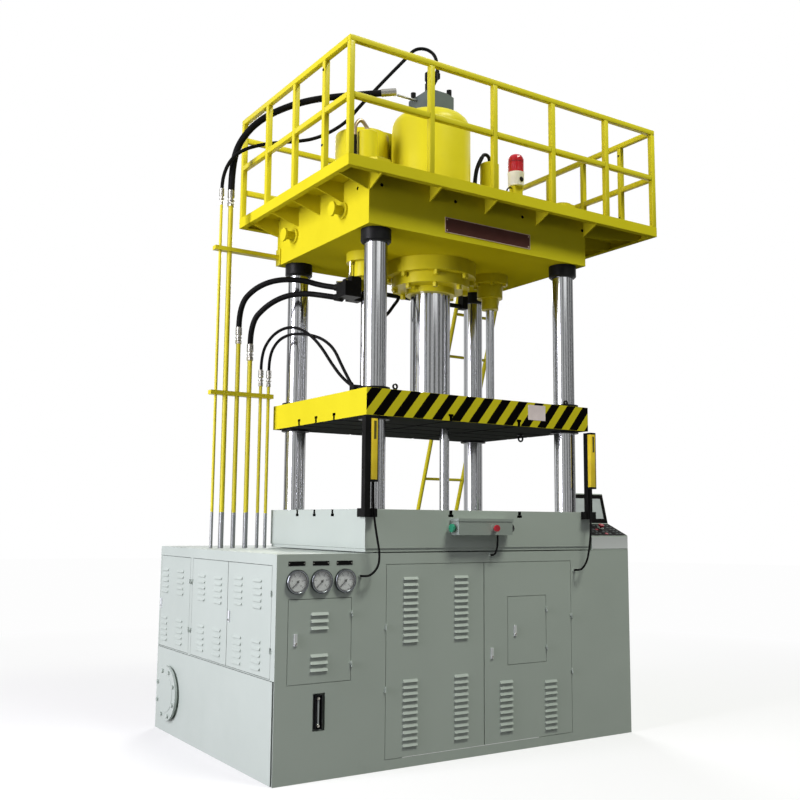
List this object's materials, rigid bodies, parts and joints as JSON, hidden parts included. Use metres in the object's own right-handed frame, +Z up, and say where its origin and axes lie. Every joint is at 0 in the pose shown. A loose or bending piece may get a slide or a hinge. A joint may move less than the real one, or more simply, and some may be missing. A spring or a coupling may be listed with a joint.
{
  "type": "four-column hydraulic press",
  "caption": "Down-stroking hydraulic press on four columns, with a slotted bed and slide, a grey power-unit cabinet, and a railed platform with a ladder on top.",
  "frame": {"origin": "on the floor, under the middle of the base cabinet's footprint", "axes": "+X to the right seen from the front, +Y to the back, +Z up"},
  "size_m": [2.892, 2.7291, 4.7269],
  "materials": {
    "grey_paint": "satin powder coat",
    "yellow_paint": "gloss enamel",
    "black_paint": "satin",
    "dark_grey_paint": "satin",
    "ground_chrome": "ground and plated",
    "bright_steel": "zinc plated",
    "black_rubber": "smooth hose cover",
    "curtain_yellow": "moulded",
    "gauge_glass": "clear",
    "white_plastic": "moulded",
    "red_plastic": "moulded",
    "green_plastic": "moulded",
    "black_plastic": "moulded"
  },
  "bodies": {
    "frame": {"cabinet_front": "grey_paint", "cabinet_panels": "grey_paint", "oil_tank": "grey_paint", "clean_out_cover": "grey_paint", "oil_level_gauge": "bright_steel", "motor": "dark_grey_paint", "pump": "dark_grey_paint", "valve_manifold": "dark_grey_paint", "electrical_panel": "grey_paint", "pedestals": "grey_paint", "bed": "grey_paint", "columns": "ground_chrome", "column_nuts": "black_paint", "column_collars": "black_paint", "crosshead": "yellow_paint", "main_cylinder": "yellow_paint", "cylinder_gland": "yellow_paint", "side_cylinders": "yellow_paint", "prefill_valve": "dark_grey_paint", "prefill_tank": "yellow_paint", "platform": "yellow_paint", "guard_rail": "yellow_paint", "ladder": "yellow_paint", "beacon_base": "white_plastic", "beacon_dome": "red_plastic", "riser_pipes": "yellow_paint", "hose_fittings": "bright_steel", "pipe_clamps": "yellow_paint", "junction_block": "black_paint", "pilot_hose": "black_rubber", "prefill_hose": "black_rubber", "return_hose": "black_rubber", "pressure_hose": "black_rubber", "slide_hoses": "black_rubber", "side_cylinder_hoses": "black_rubber", "curtain_cables": "black_rubber", "small_cables": "black_rubber", "control_box": "grey_paint", "light_curtains": "curtain_yellow", "curtain_posts": "black_paint", "gauge_cases": "bright_steel", "gauge_glasses": "gauge_glass", "console": "grey_paint"},
    "slide": {"slide": "yellow_paint", "rams": "ground_chrome", "guide_rings": "black_paint"},
    "small_door": {"small_door": "grey_paint"},
    "front_door_left": {"front_door_left": "grey_paint"},
    "front_door_right": {"front_door_right": "grey_paint"},
    "inspection_door": {"inspection_door": "grey_paint"},
    "side_door_front": {"side_door_front": "grey_paint"},
    "side_door_middle": {"side_door_middle": "grey_paint"},
    "side_door_back": {"side_door_back": "grey_paint"},
    "gauge_needle_1": {"gauge_needle_1": "black_plastic"},
    "gauge_needle_2": {"gauge_needle_2": "black_plastic"},
    "gauge_needle_3": {"gauge_needle_3": "black_plastic"},
    "control_stop_button": {"control_stop_button": "red_plastic"},
    "left_palm_button": {"left_palm_button": "green_plastic"},
    "right_palm_button": {"right_palm_button": "black_plastic"},
    "console_stop_button": {"console_stop_button": "red_plastic"}
  },
  "joints": [
    {"name": "slide_travel", "type": "slide", "parent": "frame", "child": "slide", "axis": [0, 0, 1], "range_m": [-0.35, 0.45], "deforming": ["slide_hoses"]},
    {"name": "small_door_hinge", "type": "hinge", "parent": "frame", "child": "small_door", "pos_m": [-0.853, -0.9015, 0.734], "axis": [0, 0, 1], "range_deg": [0, 90]},
    {"name": "front_door_left_hinge", "type": "hinge", "parent": "frame", "child": "front_door_left", "pos_m": [-0.627, -0.9015, 0.6], "axis": [0, 0, -1], "range_deg": [0, 110]},
    {"name": "front_door_right_hinge", "type": "hinge", "parent": "frame", "child": "front_door_right", "pos_m": [0.792, -0.9015, 0.6], "axis": [0, 0, 1], "range_deg": [0, 110]},
    {"name": "inspection_door_hinge", "type": "hinge", "parent": "front_door_right", "child": "inspection_door", "pos_m": [0.578, -0.9015, 0.7], "axis": [0, 0, 1], "range_deg": [0, 110]},
    {"name": "side_door_front_hinge", "type": "hinge", "parent": "frame", "child": "side_door_front", "pos_m": [-1.3265, -0.842, 0.84], "axis": [0, 0, 1], "range_deg": [0, 110]},
    {"name": "side_door_middle_hinge", "type": "hinge", "parent": "frame", "child": "side_door_middle", "pos_m": [-1.3265, 0.306, 0.84], "axis": [0, 0, -1], "range_deg": [0, 90]},
    {"name": "side_door_back_hinge", "type": "hinge", "parent": "frame", "child": "side_door_back", "pos_m": [-1.3265, 0.342, 0.84], "axis": [0, 0, 1], "range_deg": [0, 90]},
    {"name": "gauge_needle_1_turn", "type": "hinge", "parent": "frame", "child": "gauge_needle_1", "pos_m": [-1.197, -0.9075, 1.052], "axis": [0, 1, 0], "range_deg": [0, 270]},
    {"name": "gauge_needle_2_turn", "type": "hinge", "parent": "frame", "child": "gauge_needle_2", "pos_m": [-1.0485, -0.9075, 1.052], "axis": [0, 1, 0], "range_deg": [0, 270]},
    {"name": "gauge_needle_3_turn", "type": "hinge", "parent": "frame", "child": "gauge_needle_3", "pos_m": [-0.9, -0.9075, 1.052], "axis": [0, 1, 0], "range_deg": [0, 270]},
    {"name": "control_stop_press", "type": "slide", "parent": "frame", "child": "control_stop_button", "axis": [0, 1, 0], "range_m": [0, 0.006], "stiffness_N_per_m": 900},
    {"name": "left_palm_press", "type": "slide", "parent": "frame", "child": "left_palm_button", "axis": [1, 0, 0], "range_m": [0, 0.006], "stiffness_N_per_m": 900},
    {"name": "right_palm_press", "type": "slide", "parent": "frame", "child": "right_palm_button", "axis": [-1, 0, 0], "range_m": [0, 0.006], "stiffness_N_per_m": 900},
    {"name": "console_stop_press", "type": "slide", "parent": "frame", "child": "console_stop_button", "axis": [0, 0.3982, -0.9173], "range_m": [0, 0.006], "stiffness_N_per_m": 900}
  ]
}
